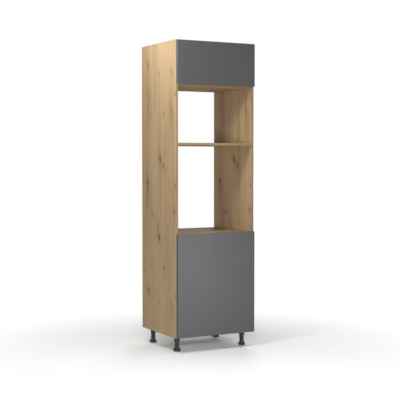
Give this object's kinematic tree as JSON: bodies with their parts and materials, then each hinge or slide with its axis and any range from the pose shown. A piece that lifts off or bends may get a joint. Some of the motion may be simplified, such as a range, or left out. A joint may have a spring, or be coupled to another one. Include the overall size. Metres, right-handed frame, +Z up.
{
  "type": "tall oven housing unit",
  "caption": "Tall kitchen cabinet with two open built-in appliance niches, a top-hung flap above, a side-hung door below and four adjustable legs.",
  "frame": {"origin": "on the floor, under the middle of the unit's overall box", "axes": "+Z up; the door and the flap face -Y; +X is to the right of somebody who faces the unit"},
  "size_m": [0.6, 0.56, 2.096],
  "materials": {
    "oak_board": "oak-effect melamine with a fine lengthwise grain, satin",
    "graphite_board": "smooth matt lacquer, graphite grey",
    "hardboard": "thin hardboard, oak-coloured face",
    "black_plastic": "moulded black plastic, satin",
    "grey_plastic": "moulded grey plastic",
    "white_plastic": "moulded off-white plastic",
    "nickel_steel": "nickel-plated pressed steel",
    "zinc": "zinc-plated, slightly dull"
  },
  "bodies": {
    "carcass": {"side_panel_left": "oak_board", "side_panel_right": "oak_board", "top_panel": "oak_board", "niche_top_panel": "oak_board", "middle_shelf": "oak_board", "oven_shelf": "oak_board", "bottom_panel": "oak_board", "adjustable_shelf": "oak_board", "upper_back_panel": "hardboard", "lower_back_panel": "hardboard", "shelf_pin_front_left": "nickel_steel", "shelf_pin_front_right": "nickel_steel", "shelf_pin_back_left": "nickel_steel", "shelf_pin_back_right": "nickel_steel", "door_lower_hinge_arm": "nickel_steel", "door_lower_hinge_plate": "zinc", "door_upper_hinge_arm": "nickel_steel", "door_upper_hinge_plate": "zinc", "flap_left_hinge_arm": "nickel_steel", "flap_left_hinge_plate": "zinc", "flap_right_hinge_arm": "nickel_steel", "flap_right_hinge_plate": "zinc", "door_latch_housing": "grey_plastic", "flap_latch_housing": "grey_plastic", "leg_socket_front_left": "black_plastic", "leg_column_front_left": "black_plastic", "leg_socket_front_right": "black_plastic", "leg_column_front_right": "black_plastic", "leg_socket_back_left": "black_plastic", "leg_column_back_left": "black_plastic", "leg_socket_back_right": "black_plastic", "leg_column_back_right": "black_plastic", "wall_bracket_left": "zinc", "wall_bracket_right": "zinc"},
    "door": {"door": "graphite_board", "door_lower_hinge_cup": "nickel_steel", "door_upper_hinge_cup": "nickel_steel"},
    "flap": {"flap": "graphite_board", "flap_left_hinge_cup": "nickel_steel", "flap_right_hinge_cup": "nickel_steel"},
    "door_plunger": {"door_latch_plunger": "white_plastic"},
    "flap_plunger": {"flap_latch_plunger": "white_plastic"},
    "foot_front_left": {"leg_foot_front_left": "black_plastic"},
    "foot_front_right": {"leg_foot_front_right": "black_plastic"},
    "foot_back_left": {"leg_foot_back_left": "black_plastic"},
    "foot_back_right": {"leg_foot_back_right": "black_plastic"}
  },
  "joints": [
    {"name": "door_hinge", "type": "hinge", "parent": "carcass", "child": "door", "pos_m": [0.2894, -0.2716, 0.454], "axis": [0, 0, 1], "range_deg": [0, 95]},
    {"name": "flap_hinge", "type": "hinge", "parent": "carcass", "child": "flap", "pos_m": [0, -0.2716, 2.0844], "axis": [-1, 0, 0], "range_deg": [0, 95]},
    {"name": "door_latch_push", "type": "slide", "parent": "carcass", "child": "door_plunger", "axis": [0, 1, 0], "range_m": [0, 0.003], "stiffness_N_per_m": 200},
    {"name": "flap_latch_push", "type": "slide", "parent": "carcass", "child": "flap_plunger", "axis": [0, 1, 0], "range_m": [0, 0.003], "stiffness_N_per_m": 200},
    {"name": "foot_front_left_turn", "type": "hinge", "parent": "carcass", "child": "foot_front_left", "pos_m": [-0.254, -0.177, 0.0211], "axis": [0, 0, 1], "continuous": true},
    {"name": "foot_front_right_turn", "type": "hinge", "parent": "carcass", "child": "foot_front_right", "pos_m": [0.254, -0.177, 0.0211], "axis": [0, 0, 1], "continuous": true},
    {"name": "foot_back_left_turn", "type": "hinge", "parent": "carcass", "child": "foot_back_left", "pos_m": [-0.254, 0.199, 0.0211], "axis": [0, 0, 1], "continuous": true},
    {"name": "foot_back_right_turn", "type": "hinge", "parent": "carcass", "child": "foot_back_right", "pos_m": [0.254, 0.199, 0.0211], "axis": [0, 0, 1], "continuous": true}
  ]
}
